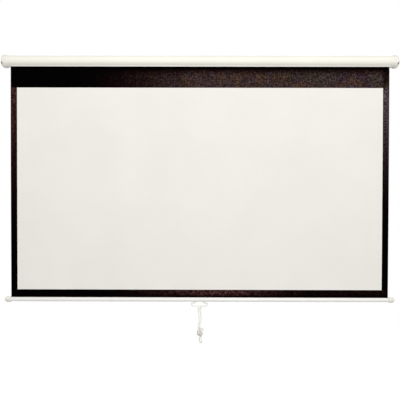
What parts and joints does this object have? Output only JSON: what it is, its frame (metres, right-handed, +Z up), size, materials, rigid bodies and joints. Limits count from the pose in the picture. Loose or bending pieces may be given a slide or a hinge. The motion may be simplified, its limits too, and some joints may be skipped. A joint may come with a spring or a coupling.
{
  "type": "projection screen",
  "caption": "Manual pull-down projection screen: rounded white case, white sheet with a black border, weight bar, pull handle and knotted cord.",
  "frame": {"origin": "middle of the case's flat back, at mid-height of the case", "axes": "+X to the right along the case, +Y back into the wall, +Z up"},
  "size_m": [2.215, 0.0735, 1.6063],
  "materials": {
    "case": "satin powder coat, warm white",
    "trim": "satin",
    "cap": "satin",
    "bar": "satin",
    "handle": "semi-gloss",
    "nylon": "natural nylon",
    "steel": "bright cold-rolled",
    "dark_steel": "oiled spring steel",
    "zinc": "zinc plated",
    "sheet": "matte white coated cloth",
    "mask": "matte black coated cloth",
    "cord": "braided cotton"
  },
  "bodies": {
    "housing": {"case_shell": "case", "slot_lip": "trim", "left_end_cap": "cap", "right_end_cap": "cap", "left_cap_screw": "zinc", "right_cap_screw": "zinc", "left_bracket": "steel", "right_bracket": "steel", "left_rivet_1": "zinc", "left_rivet_2": "zinc", "right_rivet_1": "zinc", "right_rivet_2": "zinc", "spring_mandrel": "steel", "ratchet_wheel": "dark_steel", "mandrel_collar": "nylon", "torsion_spring": "dark_steel", "pin_bush": "nylon", "screen_sheet": "sheet", "black_mask": "mask"},
    "roller": {"roller_tube": "steel", "left_roller_plug": "nylon", "right_roller_plug": "nylon", "gudgeon_pin": "steel", "spring_drum": "nylon", "sheet_wrap": "mask", "pawl_pin_1": "steel", "pawl_pin_2": "steel"},
    "first_pawl": {"pawl_1": "dark_steel"},
    "second_pawl": {"pawl_2": "dark_steel"},
    "bar": {"hem_border": "mask", "hem_rod": "steel", "weight_bar": "bar", "left_bar_cap": "cap", "right_bar_cap": "cap", "left_handle_lug": "cap", "right_handle_lug": "cap", "left_lug_screw": "zinc", "right_lug_screw": "zinc"},
    "handle": {"pull_handle": "handle"},
    "cord": {"cord_clip": "handle", "pull_cord": "cord"}
  },
  "joints": [
    {"name": "screen_drop", "type": "slide", "parent": "housing", "child": "bar", "axis": [0, 0, 1], "range_m": [0, 1.272], "deforming": ["screen_sheet", "black_mask"]},
    {"name": "roller_spin", "type": "hinge", "parent": "housing", "child": "roller", "pos_m": [0, -0.03, 0.006], "axis": [-1, 0, 0], "range_deg": [0, 3600]},
    {"name": "pawl_1_swing", "type": "hinge", "parent": "roller", "child": "first_pawl", "pos_m": [-1.059, -0.04, 0.0175], "axis": [-1, 0, 0], "range_deg": [0, 24]},
    {"name": "pawl_2_swing", "type": "hinge", "parent": "roller", "child": "second_pawl", "pos_m": [-1.059, -0.02, -0.0055], "axis": [-1, 0, 0], "range_deg": [0, 24]},
    {"name": "handle_swing", "type": "hinge", "parent": "bar", "child": "handle", "pos_m": [0, -0.04985, -1.3465], "axis": [1, 0, 0], "range_deg": [-80, 80]},
    {"name": "cord_swing", "type": "hinge", "parent": "handle", "child": "cord", "pos_m": [0, -0.04985, -1.3765], "axis": [1, 0, 0], "range_deg": [-80, 80]}
  ],
  "couplings": [
    {"joint": "roller_spin", "follows": "screen_drop", "rad_per_m": 49.396},
    {"joint": "cord_swing", "follows": "handle_swing", "ratio": -1}
  ]
}
